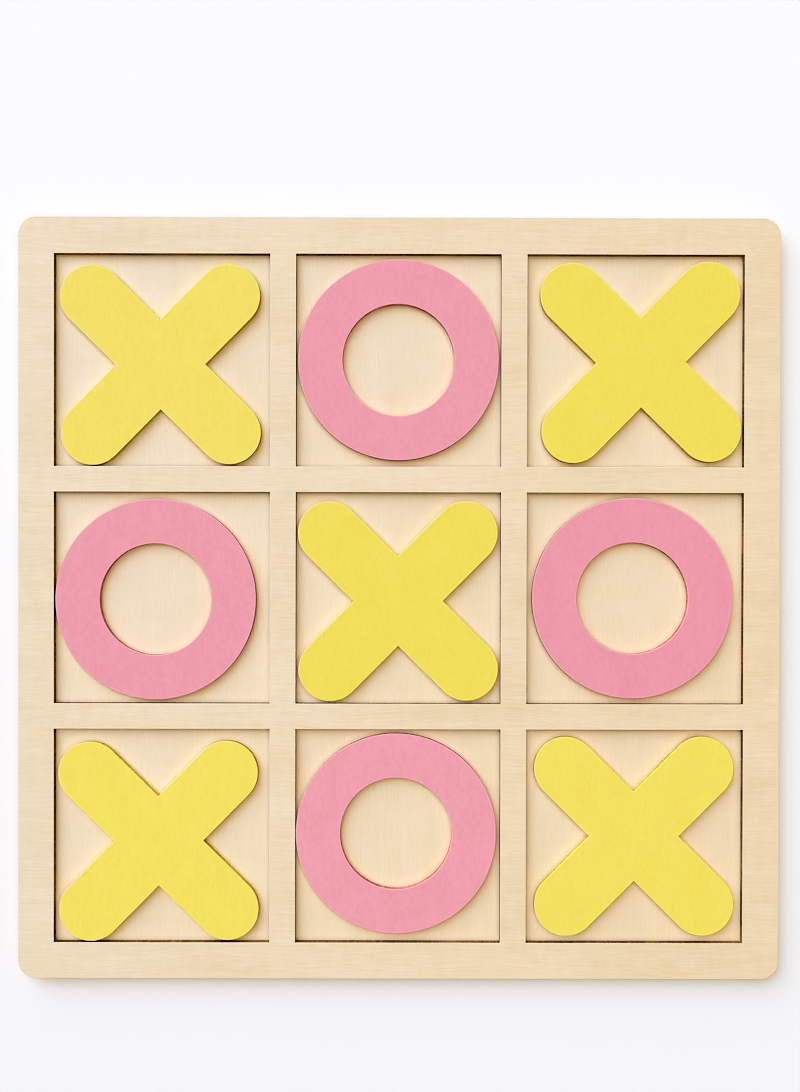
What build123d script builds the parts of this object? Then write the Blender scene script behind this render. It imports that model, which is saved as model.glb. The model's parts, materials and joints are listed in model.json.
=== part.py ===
from build123d import *
import os

# A flat tabletop tic-tac-toe game in plywood. A lattice with nine square windows is glued on a
# plain base board, which makes nine shallow wells. A loose flat piece, an X or an O, lies in
# each well and lifts straight out.
#
# Millimetres. +X is to the right, +Y away from the player and +Z up. The origin is in the
# middle of the underside, so the board lies from z = 0 to z = BOARD_TOP.

# --- Driving dimensions: the two glued sheets ---
SHEET = 3.0                      # thickness of the base board, the lattice and each loose piece
CORNER_RADIUS = 7.0              # round outer corners of both sheets
RAIL_LEFT = 14.1                 # rails round the outside of the lattice
RAIL_RIGHT = 14.2
RAIL_FRONT = 14.2
RAIL_BACK = 14.4
COLUMN_BAR = 10.2                # bars that run front to back, between the columns
ROW_BAR = 10.1                   # bars that run left to right, between the rows
COLUMN_WIDTHS = (85.0, 80.8, 85.5)   # windows, left to right
ROW_DEPTHS = (84.3, 83.3, 83.6)      # windows, front to back
SHEET_EDGE = 0.1                 # sanded bevel on the edges of both sheets

# --- Driving dimensions: the loose pieces ---
RING_OUTER_RADIUS = 39.5
RING_INNER_RADIUS = 22.0
ARM_REACH = 38.0                 # middle of an X to the centre of each arm's round end
ARM_RADIUS = 12.5                # half the width of an arm, and the radius of its round end
ARM_ANGLE = 45.0
PIECE_EDGE = 0.15                # eased edge round the faces of each loose piece

# --- Worked-out sizes ---
BOARD_WIDTH = RAIL_LEFT + sum(COLUMN_WIDTHS) + 2 * COLUMN_BAR + RAIL_RIGHT
BOARD_DEPTH = RAIL_FRONT + sum(ROW_DEPTHS) + 2 * ROW_BAR + RAIL_BACK
WELL_FLOOR = SHEET
BOARD_TOP = 2 * SHEET
THROUGH = 1.0                    # a cutter reaches this far past each face

# --- Where each piece lies ---
# Name, shape, column, row, shift from the middle of its well in X and Y, and turn in degrees.
# Rows count from the front. The pieces are loose, so none lies exactly in the middle.
PIECES = (
    ("x_back_left", "x", 0, 2, -0.65, -1.85, 0.4),
    ("o_back_middle", "o", 1, 2, -0.1, 0.2, 0.0),
    ("x_back_right", "x", 2, 2, 1.95, -0.6, 0.6),
    ("o_middle_left", "o", 0, 1, -2.45, -0.65, 0.0),
    ("x_centre", "x", 1, 1, -0.1, -1.2, 0.25),
    ("o_middle_right", "o", 2, 1, -1.15, 0.1, 0.0),
    ("x_front_left", "x", 0, 0, -1.25, -2.1, 0.45),
    ("o_front_middle", "o", 1, 0, -0.7, 1.0, 0.0),
    ("x_front_right", "x", 2, 0, -0.2, 0.05, 0.15),
)


def window_spans(first_rail, sizes, bar, total):
    """Give each window's low and high edge along one direction, from the board's middle."""
    spans = []
    low = first_rail - total / 2
    for size in sizes:
        spans.append((low, low + size))
        low += size + bar
    return spans


COLUMN_SPANS = window_spans(RAIL_LEFT, COLUMN_WIDTHS, COLUMN_BAR, BOARD_WIDTH)
ROW_SPANS = window_spans(RAIL_FRONT, ROW_DEPTHS, ROW_BAR, BOARD_DEPTH)


def middle(span):
    """Give the middle of a (low, high) span."""
    return (span[0] + span[1]) / 2


def round_cornered_sheet(bottom):
    """Make one sheet of the board, without windows, its outer edges bevelled."""
    outline = RectangleRounded(BOARD_WIDTH, BOARD_DEPTH, CORNER_RADIUS)
    sheet = extrude(Plane.XY.offset(bottom) * outline, SHEET)
    rims = sheet.faces().filter_by(Axis.Z).edges()
    return chamfer(rims, SHEET_EDGE)


def make_base_board():
    """Make the plain sheet that closes the wells from below."""
    return round_cornered_sheet(0)


def make_lattice():
    """Make the sheet with nine windows that is glued on the base board.

    The windows are sharp-cornered, and only their upper edges are bevelled."""
    lattice = round_cornered_sheet(WELL_FLOOR)
    for left, right in COLUMN_SPANS:
        for front, back in ROW_SPANS:
            centre = (middle((left, right)), middle((front, back)), WELL_FLOOR + SHEET / 2)
            lattice -= Pos(*centre) * Box(right - left, back - front, SHEET + 2 * THROUGH)
    top_face = lattice.faces().sort_by(Axis.Z)[-1]
    window_rims = [edge for wire in top_face.inner_wires() for edge in wire.edges()]
    return chamfer(window_rims, SHEET_EDGE)


def ease_faces(piece):
    """Ease the edges round the two flat faces of a loose piece."""
    rims = piece.faces().filter_by(Axis.Z).edges()
    return chamfer(rims, PIECE_EDGE)


def make_x():
    """Make an X about the origin: two crossed arms with round ends, lying on z = 0."""
    arm = SlotCenterToCenter(2 * ARM_REACH, 2 * ARM_RADIUS)
    outline = Rot(0, 0, ARM_ANGLE) * arm + Rot(0, 0, -ARM_ANGLE) * arm
    return ease_faces(extrude(outline, SHEET))


def make_o():
    """Make an O about the origin: a flat ring lying on z = 0."""
    outline = Circle(RING_OUTER_RADIUS) - Circle(RING_INNER_RADIUS)
    return ease_faces(extrude(outline, SHEET))


def place_in_well(piece, column, row, shift_x, shift_y, turn):
    """Lay a loose piece on the floor of its well, shifted and turned as it lies there."""
    x = middle(COLUMN_SPANS[column]) + shift_x
    y = middle(ROW_SPANS[row]) + shift_y
    return Pos(x, y, WELL_FLOOR) * Rot(0, 0, turn) * piece


def build_nodes():
    """Make every node of the game, by name."""
    nodes = {"base_board": make_base_board(), "lattice": make_lattice()}
    makers = {"x": make_x, "o": make_o}
    for name, shape, column, row, shift_x, shift_y, turn in PIECES:
        piece = makers[shape]()
        nodes[name] = place_in_well(piece, column, row, shift_x, shift_y, turn)
    return nodes


os.makedirs("parts", exist_ok=True)
for node_name, solid in build_nodes().items():
    export_step(solid, f"parts/{node_name}.step")
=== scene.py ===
import json
from math import cos, pi, radians, sin

import bpy
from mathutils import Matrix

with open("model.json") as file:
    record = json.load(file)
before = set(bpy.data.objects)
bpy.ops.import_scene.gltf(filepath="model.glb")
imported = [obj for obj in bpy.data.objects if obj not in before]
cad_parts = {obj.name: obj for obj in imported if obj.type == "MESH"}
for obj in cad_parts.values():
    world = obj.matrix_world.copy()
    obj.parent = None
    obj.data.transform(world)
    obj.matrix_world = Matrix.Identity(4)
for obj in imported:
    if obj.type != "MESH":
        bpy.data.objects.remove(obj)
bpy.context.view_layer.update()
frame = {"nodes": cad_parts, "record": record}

# The looks of a flat tabletop tic-tac-toe game: a bare plywood board and painted plywood pieces.
# Blender's units are metres. Sizes inside the materials are in millimetres of the CAD frame.
MM = 0.001
SHEET = 3.0                          # thickness of the base board, the lattice and each piece
PLY = SHEET / 3                      # a sheet is three plies, with glue between them

# --- Colours, linear red, green and blue ---
STREAK = (1.0, 0.93, 0.82)           # multiplies the wood in a tan streak
BURNT_DARK = (0.145, 0.082, 0.026)   # cut edges of the bare ply, from most to least scorched
BURNT_BROWN = (0.46, 0.30, 0.125)
BEVEL_CREAM_AND_HIGHLIGHT = (0.88, 0.77, 0.60)       # bare ply on the fine bevels along its edges, paler than the face: partly sanded wood, partly a painted highlight
TABLE_LIT_BACK = (0.899, 0.894, 0.890)    # painted shade: the table is a little greyer towards its front
TABLE_SHADED_FRONT = (0.866, 0.853, 0.854)
TABLE_UNEVEN = (0.985, 0.985, 0.985)  # multiplies the table in the hollows of its paint

# Two sheets of light plywood. The wood gets warmer towards the right and the front of the board,
# partly its own tone and partly a painted sheen that leaves the back left paler: "warm" multiplies
# it there, and the colour shifts by the whole of that over "across" millimetres from left to right,
# or over "forward" millimetres from back to front.
WOODS = {
    "lattice_ply": {
        "along": "X", "seed": 11.0,
        "pale": (0.872, 0.740, 0.614), "tan": (0.728, 0.608, 0.415),
        "warm": (0.99, 0.955, 0.88), "across": 300.0, "forward": 1600.0,
        "streak_slope": 0.13, "streak_strength": 0.6,
    },
    "base_ply": {
        "along": "Y", "seed": 47.0,
        "pale": (0.870, 0.764, 0.655), "tan": (0.784, 0.668, 0.508),
        "warm": (0.98, 0.912, 0.774), "across": 600.0, "forward": 750.0,
        "streak_slope": -0.10, "streak_strength": 0.3,
    },
}

# "face" and "deep" are the two ends of the paint's mottling, "rim" is the bevel and the pale line
# beside it, a painted highlight along the edges, and "side" and "side_dark" are the cut edge, stained
# by the paint.
PAINTS = {
    "yellow_paint": {
        "face": (0.842, 0.718, 0.190),
        "deep": (0.806, 0.666, 0.138),
        "rim": (0.90, 0.77, 0.24),
        "side": (0.86, 0.72, 0.170),
        "side_dark": (0.68, 0.50, 0.040),
    },
    "pink_paint": {
        "face": (0.817, 0.399, 0.450),
        "deep": (0.768, 0.345, 0.394),
        "rim": (0.88, 0.47, 0.48),
        "side": (0.82, 0.42, 0.36),
        "side_dark": (0.48, 0.17, 0.09),
    },
}
# These multiply a piece's face colours: partly the paint differing from piece to piece,
# partly a painted sheen that leaves the pieces on the left a little paler.
COATS = {
    "x_back_left": (1.01, 1.00, 1.10),
    "x_back_right": (0.99, 0.99, 0.93),
    "x_centre": (0.99, 0.99, 0.93),
    "x_front_left": (1.02, 1.02, 1.03),
    "x_front_right": (1.01, 1.01, 1.01),
    "o_back_middle": (1.00, 1.00, 1.00),
    "o_middle_left": (1.00, 1.00, 1.00),
    "o_middle_right": (0.99, 0.97, 0.98),
    "o_front_middle": (1.02, 1.03, 1.02),
}
COAT_SEED_STEP = 5.3                 # gives each piece a pattern of its own

# --- Detail of the surfaces ---
# A pair that ends in RANGE says where something starts to show and where it shows in full.
GRAIN_WAVER = 9.0                    # millimetres, the whole swing of the grain from side to side
FEATHER_RANGE, PATCH_RANGE = (0.52, 0.70), (0.47, 0.66)    # noise that makes the tan streaks
PORE_RANGE, PORE_STRENGTH = (0.66, 0.78), 0.20
HIGHLIGHT_LINE_REACH = 1.0                     # millimetres, twice the width of the painted highlight, a pale line along the paint's edges
HIGHLIGHT_LINE_STRENGTH = 0.6                  # how far that line goes to the rim colour
EDGE_SAMPLES = 8
SCORCH_RANGE = (0.25, 0.80)          # noise that takes a cut edge from dark to brown
CORE_PALENESS = 0.45                 # how far the middle ply of a cut edge goes to the paler brown
GLUE_WIDTH, GLUE_DARKNESS = (0.03, 0.12), 0.65    # millimetres from its middle that it fades over
# How level the surface is, from 0 on a cut edge to 1 on a flat face, with the bevels at 0.7.
FLAT_RANGE, BEVEL_RANGE = (0.80, 0.97), (0.35, 0.60)
PALE_BEVEL_RANGE = (0.25, 0.50)      # millimetres from the joint between the two sheets
# Relief is a strength and a depth in millimetres. Roughness is a range on the faces.
WOOD_RELIEF, PAINT_RELIEF, TABLE_RELIEF = (0.35, 0.05), (0.30, 0.04), (0.05, 0.05)
WOOD_ROUGHNESS, PAINT_ROUGHNESS, TABLE_ROUGHNESS = (0.58, 0.74), (0.56, 0.70), (0.75, 0.85)
CUT_WOOD_ROUGHNESS, CUT_PAINT_ROUGHNESS = 0.95, 0.90
WOOD_GLOSS, PAINT_GLOSS, TABLE_GLOSS = 0.15, 0.2, 0.2

# --- Table ---
TABLE_HALF = 40.0                    # metres, so that its edge is out of sight
TABLE_GAP = 0.05                     # millimetres below the board
TABLE_SHADE_FADE = 200.0                   # millimetres to the front and back that its painted shade changes over
TABLE_RANGE = (0.1, 0.9)             # noise that makes the hollows of its paint

# --- Light ---
EXPOSURE = 1.090
# Where each light comes from, and how wide it looks, in degrees. Azimuth runs from +X towards +Y.
WINDOW_AZIMUTH, WINDOW_ELEVATION, WINDOW_WIDTH = 128, 41, 66
OVERHEAD_AZIMUTH, OVERHEAD_ELEVATION, OVERHEAD_WIDTH = -30, 82, 60
WINDOW_SHARE, OVERHEAD_SHARE = 0.50, 0.45    # of a level surface's brightness
WINDOW_TINT, OVERHEAD_TINT = (0.88, 1.0, 1.29), (1.12, 1.0, 0.75)    # cool and warm
HORIZON_LIGHT, CEILING_LIGHT = 0.92, 0.025    # brightness of the surround, low down and overhead
SURROUND_TINT = (1.01, 1.0, 0.96)
# The surround is a dome of radius 1. Its wall fades to the ceiling between the WALL_TOP heights,
# and from its far side to the window's side over SIDE_SPREAD each way.
WALL_TOP = (0.06, 0.30)
SIDE_SPREAD = 0.6
FAR_SIDE, WINDOW_SIDE = 0.5, 1.5     # multiply its brightness on those two sides

# --- Picture ---
# Points of the tone curve: scene light in, picture light out. It holds the whites and deepens
# the middle, as a camera's own contrast does.
TONE_CURVE = ((0.0, 0.0), (0.10, 0.045), (0.25, 0.165), (0.50, 0.430), (0.75, 0.730), (1.0, 1.0))
SHARPNESS = 0.2
SENSOR, LENS = 36.0, 37.81           # millimetres, the sensor along the picture's longer side
LENS_SHIFT = 0.0229                  # as a share of that side
CAMERA_PLACE = (-0.00035, 0.01394, 0.45769)
CAMERA_TURN = (-0.38, -0.09, 0.13)   # degrees about X, Y and Z, from looking straight down
NEAREST_SEEN = 0.01                  # metres, as CAMERA_PLACE is


class Graph:
    """A node tree, with a short call for each kind of node that it uses."""

    def __init__(self, tree):
        self.nodes = tree.nodes
        self.links = tree.links

    def put(self, socket, value):
        """Link a value that comes from another node, or set a plain one."""
        if isinstance(value, bpy.types.NodeSocket):
            self.links.new(value, socket)
        elif socket.type == "RGBA":
            socket.default_value = (*value, 1)
        else:
            socket.default_value = value

    def split(self, vector):
        node = self.nodes.new("ShaderNodeSeparateXYZ")
        self.put(node.inputs[0], vector)
        return node.outputs["X"], node.outputs["Y"], node.outputs["Z"]

    def join(self, x, y, z):
        node = self.nodes.new("ShaderNodeCombineXYZ")
        for socket, value in zip(node.inputs, (x, y, z)):
            self.put(socket, value)
        return node.outputs["Vector"]

    def vector(self, operation, first, second):
        node = self.nodes.new("ShaderNodeVectorMath")
        node.operation = operation
        self.put(node.inputs[0], first)
        self.put(node.inputs[1], second)
        return node.outputs["Vector"]

    def maths(self, operation, *numbers):
        node = self.nodes.new("ShaderNodeMath")
        node.operation = operation
        for socket, number in zip(node.inputs, numbers):
            self.put(socket, number)
        return node.outputs["Value"]

    def ramp(self, value, low, high, low_to=0.0, high_to=1.0):
        """Turn low..high into low_to..high_to, smoothly and no further."""
        node = self.nodes.new("ShaderNodeMapRange")
        node.interpolation_type = "SMOOTHSTEP"
        for name, number in (("Value", value), ("From Min", low), ("From Max", high),
                             ("To Min", low_to), ("To Max", high_to)):
            self.put(node.inputs[name], number)
        return node.outputs["Result"]

    def blend(self, factor, first, second):
        """Turn a factor from 0 to 1 into a number from first to second."""
        return self.ramp(factor, 0.0, 1.0, first, second)

    def fade(self, factor, first, second, kind, how="MIX"):
        """Fade from the first value to the second, both of one kind: VALUE or RGBA."""
        node = self.nodes.new("ShaderNodeMix")
        node.data_type = {"VALUE": "FLOAT", "RGBA": "RGBA"}[kind]
        node.blend_type = how
        self.put(node.inputs["Factor"], factor)
        sides = [socket for socket in node.inputs if socket.name in "AB" and socket.type == kind]
        self.put(sides[0], first)
        self.put(sides[1], second)
        return [socket for socket in node.outputs if socket.type == kind][0]

    def mix(self, factor, first, second, how="MIX"):
        """Fade between two colours, or multiply them."""
        return self.fade(factor, first, second, "RGBA", how)

    def mix_number(self, factor, first, second):
        """Fade between two numbers."""
        return self.fade(factor, first, second, "VALUE")

    def weighted_sum(self, terms):
        """Add up (weight, noise) pairs round 0.5, the middle of each noise."""
        total = 0.5
        for weight, noise in terms:
            swing = self.maths("MULTIPLY", self.maths("SUBTRACT", noise, 0.5), weight)
            total = self.maths("ADD", swing, total)
        return total


class Surface(Graph):
    """One material: a graph that knows where on the solid each point is, in millimetres."""

    def __init__(self, name):
        self.material = bpy.data.materials.new(name)
        self.material.use_nodes = True
        super().__init__(self.material.node_tree)
        self.shader = self.nodes["Principled BSDF"]
        coordinates = self.nodes.new("ShaderNodeTexCoord")
        self.place = self.vector("MULTIPLY", coordinates.outputs["Object"], (1 / MM,) * 3)
        self.x, self.y, self.z = self.split(self.place)
        self.facing = self.maths("ABSOLUTE", self.split(coordinates.outputs["Normal"])[2])

    def noise(self, size, seed, detail=2.0, roughness=0.5, place=None):
        """Cloudy noise from 0 to 1 whose clouds are about size (x, y, z) millimetres."""
        stretched = self.vector("DIVIDE", place or self.place, size)
        node = self.nodes.new("ShaderNodeTexNoise")
        self.put(node.inputs["Vector"], self.vector("ADD", stretched, (seed, 1.7 * seed, -seed)))
        self.put(node.inputs["Scale"], 1.0)
        self.put(node.inputs["Detail"], detail)
        self.put(node.inputs["Roughness"], roughness)
        return node.outputs["Fac"]

    def near_edge(self, reach):
        """Give 1 beside an edge of the solid, fading to 0 about half this far in.

        It looks inward, where the side wall blocks half the view at an edge and none further in."""
        node = self.nodes.new("ShaderNodeAmbientOcclusion")
        node.inside = True
        node.only_local = True
        node.samples = EDGE_SAMPLES
        self.put(node.inputs["Distance"], reach * MM)
        return self.ramp(node.outputs["AO"], 0.5, 0.95, 1.0, 0.0)

    def bump(self, height, strength, depth):
        node = self.nodes.new("ShaderNodeBump")
        self.put(node.inputs["Height"], height)
        self.put(node.inputs["Strength"], strength)
        self.put(node.inputs["Distance"], depth * MM)
        self.links.new(node.outputs["Normal"], self.shader.inputs["Normal"])

    def finish(self, colour, roughness, gloss):
        """Connect the colour and roughness, and set how strongly the surface mirrors."""
        inputs = self.shader.inputs
        self.put(inputs["Base Color"], colour)
        self.put(inputs["Roughness"], roughness)
        self.put(inputs["Specular IOR Level"], gloss)
        return self.material


def grain_place(surface, along, seed):
    """Give millimetres (along the grain, across it, depth), with a slow natural waver."""
    waver = surface.noise((70, 70, 20), seed, detail=1.0)
    shift = surface.maths("MULTIPLY", surface.maths("SUBTRACT", waver, 0.5), GRAIN_WAVER)
    if along == "X":
        return surface.join(surface.x, surface.maths("ADD", surface.y, shift), surface.z)
    return surface.join(surface.y, surface.maths("ADD", surface.x, shift), surface.z)


def cut_edge(surface, seed, dark, brown):
    """Colour a laser-cut wall: three plies, glue lines, and scorched upright striations.

    It gives the colour, and the striations for the relief."""
    striations = surface.noise((0.45, 0.45, 9.0), seed, roughness=0.6)
    scorch = surface.noise((14, 14, 5), seed + 3.1)
    tone = surface.weighted_sum([(1.1, striations), (1.0, scorch)])
    wall = surface.mix(surface.ramp(tone, *SCORCH_RANGE), dark, brown)
    to_glue = surface.maths("PINGPONG", surface.z, PLY / 2)
    height_in_sheet = surface.maths("MODULO", surface.z, SHEET)
    core = surface.maths("COMPARE", height_in_sheet, SHEET / 2, PLY / 2)
    wall = surface.mix(surface.maths("MULTIPLY", core, CORE_PALENESS), wall, brown)
    glue = surface.ramp(to_glue, *GLUE_WIDTH, GLUE_DARKNESS, 0.0)
    return surface.mix(glue, wall, dark), striations


def lay_out_surface(surface, face, rim, wall):
    """Put the face colour on flat faces, the rim on bevels and the wall on cut edges.

    The bevels at mid-height, where the two sheets meet, stay as dark as the wall. It gives the
    colour, and 1 on flat faces."""
    flat = surface.ramp(surface.facing, *FLAT_RANGE)
    upright = surface.ramp(surface.facing, *BEVEL_RANGE, 1.0, 0.0)
    from_joint = surface.maths("ABSOLUTE", surface.maths("SUBTRACT", surface.z, SHEET))
    # The pale rim on the bevels is partly the bare material and partly a painted highlight along the
    # edges.
    bevel = surface.mix(surface.ramp(from_joint, *PALE_BEVEL_RANGE), wall, rim)
    return surface.mix(upright, surface.mix(flat, bevel, face), wall), flat


def slanted_streaks(surface, wood, slope, seed):
    """Make the soft feathery tan streaks, 25 to 40 mm long, that run a little off the grain."""
    along, across, depth = surface.split(wood)
    slanted = surface.maths("ADD", across, surface.maths("MULTIPLY", along, slope))
    tilted = surface.join(along, slanted, depth)
    feather = surface.noise((34, 3.2, 9), seed, detail=3.0, roughness=0.6, place=tilted)
    patch = surface.noise((70, 26, 20), seed + 5.0, detail=1.0, place=tilted)
    return surface.maths("MULTIPLY", surface.ramp(feather, *FEATHER_RANGE),
                         surface.ramp(patch, *PATCH_RANGE))


def warmth_of_place(surface, across, forward):
    """Give 0.5 in the middle of the board, growing by 1 over these lengths to the right and front."""
    by_x = surface.maths("DIVIDE", surface.x, across)
    by_y = surface.maths("DIVIDE", surface.y, -forward)
    return surface.maths("ADD", surface.maths("ADD", by_x, by_y), 0.5)


def bare_ply(name, sheet):
    """Sanded light plywood with its grain along X or Y, and laser-browned cut edges."""
    surface = Surface(name)
    seed = sheet["seed"]
    wood = grain_place(surface, sheet["along"], seed)
    cloud = surface.noise((52, 22, 20), seed + 1.0, place=wood)
    band = surface.noise((160, 4.5, 12), seed + 2.0, place=wood)
    fibre = surface.noise((9, 0.50, 4), seed + 3.0, roughness=0.7, place=wood)
    curl = surface.noise((3.6, 9.0, 6), seed + 4.0, place=wood)
    pore = surface.noise((2.4, 0.20, 2), seed + 6.0, detail=1.0, place=wood)
    tone = surface.weighted_sum([(0.55, cloud), (0.35, band), (1.0, fibre), (0.4, curl)])
    face = surface.mix(tone, sheet["pale"], sheet["tan"])

    # Partly the wood's own tone, partly a painted sheen that leaves the back left paler.
    warmth = warmth_of_place(surface, sheet["across"], sheet["forward"])
    face = surface.mix(warmth, face, sheet["warm"], "MULTIPLY")
    streaks = slanted_streaks(surface, wood, sheet["streak_slope"], seed + 7.0)
    streaks = surface.maths("MULTIPLY", streaks, sheet["streak_strength"])
    face = surface.mix(streaks, face, STREAK, "MULTIPLY")
    pores = surface.ramp(pore, *PORE_RANGE, 0.0, PORE_STRENGTH)
    face = surface.mix(pores, face, sheet["tan"], "MULTIPLY")

    wall, striations = cut_edge(surface, seed, BURNT_DARK, BURNT_BROWN)
    colour, flat = lay_out_surface(surface, face, BEVEL_CREAM_AND_HIGHLIGHT, wall)
    grain_height = surface.weighted_sum([(1.0, fibre), (0.5, band), (-0.8, pores)])
    height = surface.mix_number(flat, striations, grain_height)
    surface.bump(height, *WOOD_RELIEF)
    roughness = surface.mix_number(flat, CUT_WOOD_ROUGHNESS, surface.blend(fibre, *WOOD_ROUGHNESS))
    return surface.finish(colour, roughness, WOOD_GLOSS)


def painted_ply(name, paint, coat, seed):
    """Matte paint over plywood: the grain shows faintly through it, the cut edges are browned."""
    surface = Surface(name)
    wood = grain_place(surface, "Y", seed)
    cloud = surface.noise((16, 8, 12), seed + 1.0, place=wood)
    fibre = surface.noise((6.0, 0.50, 3), seed + 2.0, roughness=0.7, place=wood)
    mottle = surface.noise((2.6, 1.8, 2), seed + 4.0, place=wood)
    grit = surface.noise((0.70, 0.50, 0.5), seed + 3.0, roughness=0.6, place=wood)
    tone = surface.weighted_sum([(0.75, cloud), (0.8, fibre), (1.0, mottle), (1.0, grit)])
    face = surface.mix(tone, paint["face"], paint["deep"])
    # Partly the paint's own coat, partly a painted sheen that leaves pieces on the left paler.
    face = surface.mix(1.0, face, coat, "MULTIPLY")
    # Painted highlight: a pale line just inside the face's edges, where light seems to catch them.
    painted_highlight = surface.maths("MULTIPLY", surface.near_edge(HIGHLIGHT_LINE_REACH), HIGHLIGHT_LINE_STRENGTH)
    face = surface.mix(painted_highlight, face, paint["rim"])

    wall, striations = cut_edge(surface, seed, paint["side_dark"], paint["side"])
    colour, flat = lay_out_surface(surface, face, paint["rim"], wall)
    paint_height = surface.weighted_sum([(0.9, fibre), (0.6, grit)])
    height = surface.mix_number(flat, striations, paint_height)
    surface.bump(height, *PAINT_RELIEF)
    roughness = surface.mix_number(flat, CUT_PAINT_ROUGHNESS, surface.blend(grit, *PAINT_ROUGHNESS))
    return surface.finish(colour, roughness, PAINT_GLOSS)


def table_top():
    """A plain white-painted surface with the faint unevenness of a roller, and a painted shade that
    makes it greyer towards the front.
    """
    surface = Surface("table_top")
    cloud = surface.noise((220, 220, 50), 2.0)
    stipple = surface.noise((1.3, 1.3, 1.3), 3.0, detail=3.0)
    tone = surface.weighted_sum([(0.8, cloud), (0.15, stipple)])
    # Painted shade: the table greys towards its front.
    colour = surface.mix(surface.ramp(surface.y, -TABLE_SHADE_FADE, TABLE_SHADE_FADE), TABLE_SHADED_FRONT, TABLE_LIT_BACK)
    colour = surface.mix(surface.ramp(tone, *TABLE_RANGE), colour, TABLE_UNEVEN, "MULTIPLY")
    surface.bump(stipple, *TABLE_RELIEF)
    return surface.finish(colour, surface.blend(stipple, *TABLE_ROUGHNESS), TABLE_GLOSS)


def dress_nodes():
    """Give every node its own material: no two pieces were cut from the same bit of ply."""
    for number, part in enumerate(frame["record"]["subparts"]):
        node, slot = part["node"], part["material_slot"]
        if slot in WOODS:
            look = bare_ply(node + "_wood", WOODS[slot])
        else:
            look = painted_ply(node + "_paint", PAINTS[slot], COATS[node], COAT_SEED_STEP * number)
        mesh = frame["nodes"][node].data
        mesh.materials.clear()
        mesh.materials.append(look)


def add_table():
    """Lay a large pale surface just under the board."""
    mesh = bpy.data.meshes.new("table")
    low, high = -TABLE_HALF, TABLE_HALF
    corners = [(low, low, 0), (high, low, 0), (high, high, 0), (low, high, 0)]
    mesh.from_pydata(corners, [], [(0, 1, 2, 3)])
    mesh.materials.append(table_top())
    table = bpy.data.objects.new("table", mesh)
    table.location.z = -TABLE_GAP * MM
    bpy.context.scene.collection.objects.link(table)


def add_sun(name, azimuth, elevation, width, share, tint):
    """Add a broad, far light that gives a level surface this share of its brightness."""
    light = bpy.data.lights.new(name, "SUN")
    light.angle = radians(width)
    light.color = tint
    light.energy = EXPOSURE * share * pi / sin(radians(elevation))
    lamp = bpy.data.objects.new(name, light)
    lamp.rotation_euler = (0, radians(90 - elevation), radians(azimuth))
    bpy.context.scene.collection.objects.link(lamp)


def add_surround():
    """Surround the scene with a studio wall: bright low down and by the window, dim overhead."""
    world = bpy.data.worlds.new("studio")
    world.use_nodes = True
    graph = Graph(world.node_tree)
    direction = graph.nodes.new("ShaderNodeTexCoord").outputs["Generated"]
    east, north, height = graph.split(direction)
    window = radians(WINDOW_AZIMUTH)
    to_window = graph.maths("ADD", graph.maths("MULTIPLY", east, cos(window)),
                            graph.maths("MULTIPLY", north, sin(window)))
    wall = graph.ramp(height, *WALL_TOP, HORIZON_LIGHT, CEILING_LIGHT)
    side = graph.ramp(to_window, -SIDE_SPREAD, SIDE_SPREAD, FAR_SIDE, WINDOW_SIDE)
    background = graph.nodes["Background"]
    graph.put(background.inputs["Color"], SURROUND_TINT)
    graph.put(background.inputs["Strength"], graph.maths("MULTIPLY", wall, side))
    bpy.context.scene.world = world


def set_tone():
    """Develop the picture plainly, with a gentle contrast curve."""
    settings = bpy.context.scene.view_settings
    settings.view_transform = "Standard"
    settings.use_curve_mapping = True
    mapping = settings.curve_mapping
    all_channels = mapping.curves[3]
    for light_in, light_out in TONE_CURVE[1:-1]:
        all_channels.points.new(light_in, light_out)
    mapping.update()


def sharpen_picture():
    """Sharpen the rendered picture a little, as a camera does."""
    scene = bpy.context.scene
    scene.use_nodes = True
    nodes, links = scene.node_tree.nodes, scene.node_tree.links
    nodes.clear()
    picture = nodes.new("CompositorNodeRLayers")
    sharpen = nodes.new("CompositorNodeFilter")
    sharpen.filter_type = "SHARPEN_DIAMOND"
    sharpen.inputs["Fac"].default_value = SHARPNESS
    result = nodes.new("CompositorNodeComposite")
    links.new(picture.outputs["Image"], sharpen.inputs["Image"])
    links.new(sharpen.outputs["Image"], result.inputs["Image"])


def add_camera():
    """Look straight down from arm's length, as a person who stands over the board does."""
    data = bpy.data.cameras.new("camera")
    data.sensor_width = SENSOR
    data.lens = LENS
    data.shift_y = LENS_SHIFT
    data.clip_start = NEAREST_SEEN
    camera = bpy.data.objects.new("camera", data)
    camera.location = CAMERA_PLACE
    camera.rotation_euler = [radians(turn) for turn in CAMERA_TURN]
    bpy.context.scene.collection.objects.link(camera)
    bpy.context.scene.camera = camera


add_camera()
dress_nodes()
add_table()
add_sun("window", WINDOW_AZIMUTH, WINDOW_ELEVATION, WINDOW_WIDTH, WINDOW_SHARE, WINDOW_TINT)
add_sun("overhead", OVERHEAD_AZIMUTH, OVERHEAD_ELEVATION, OVERHEAD_WIDTH, OVERHEAD_SHARE,
        OVERHEAD_TINT)
add_surround()
set_tone()
sharpen_picture()
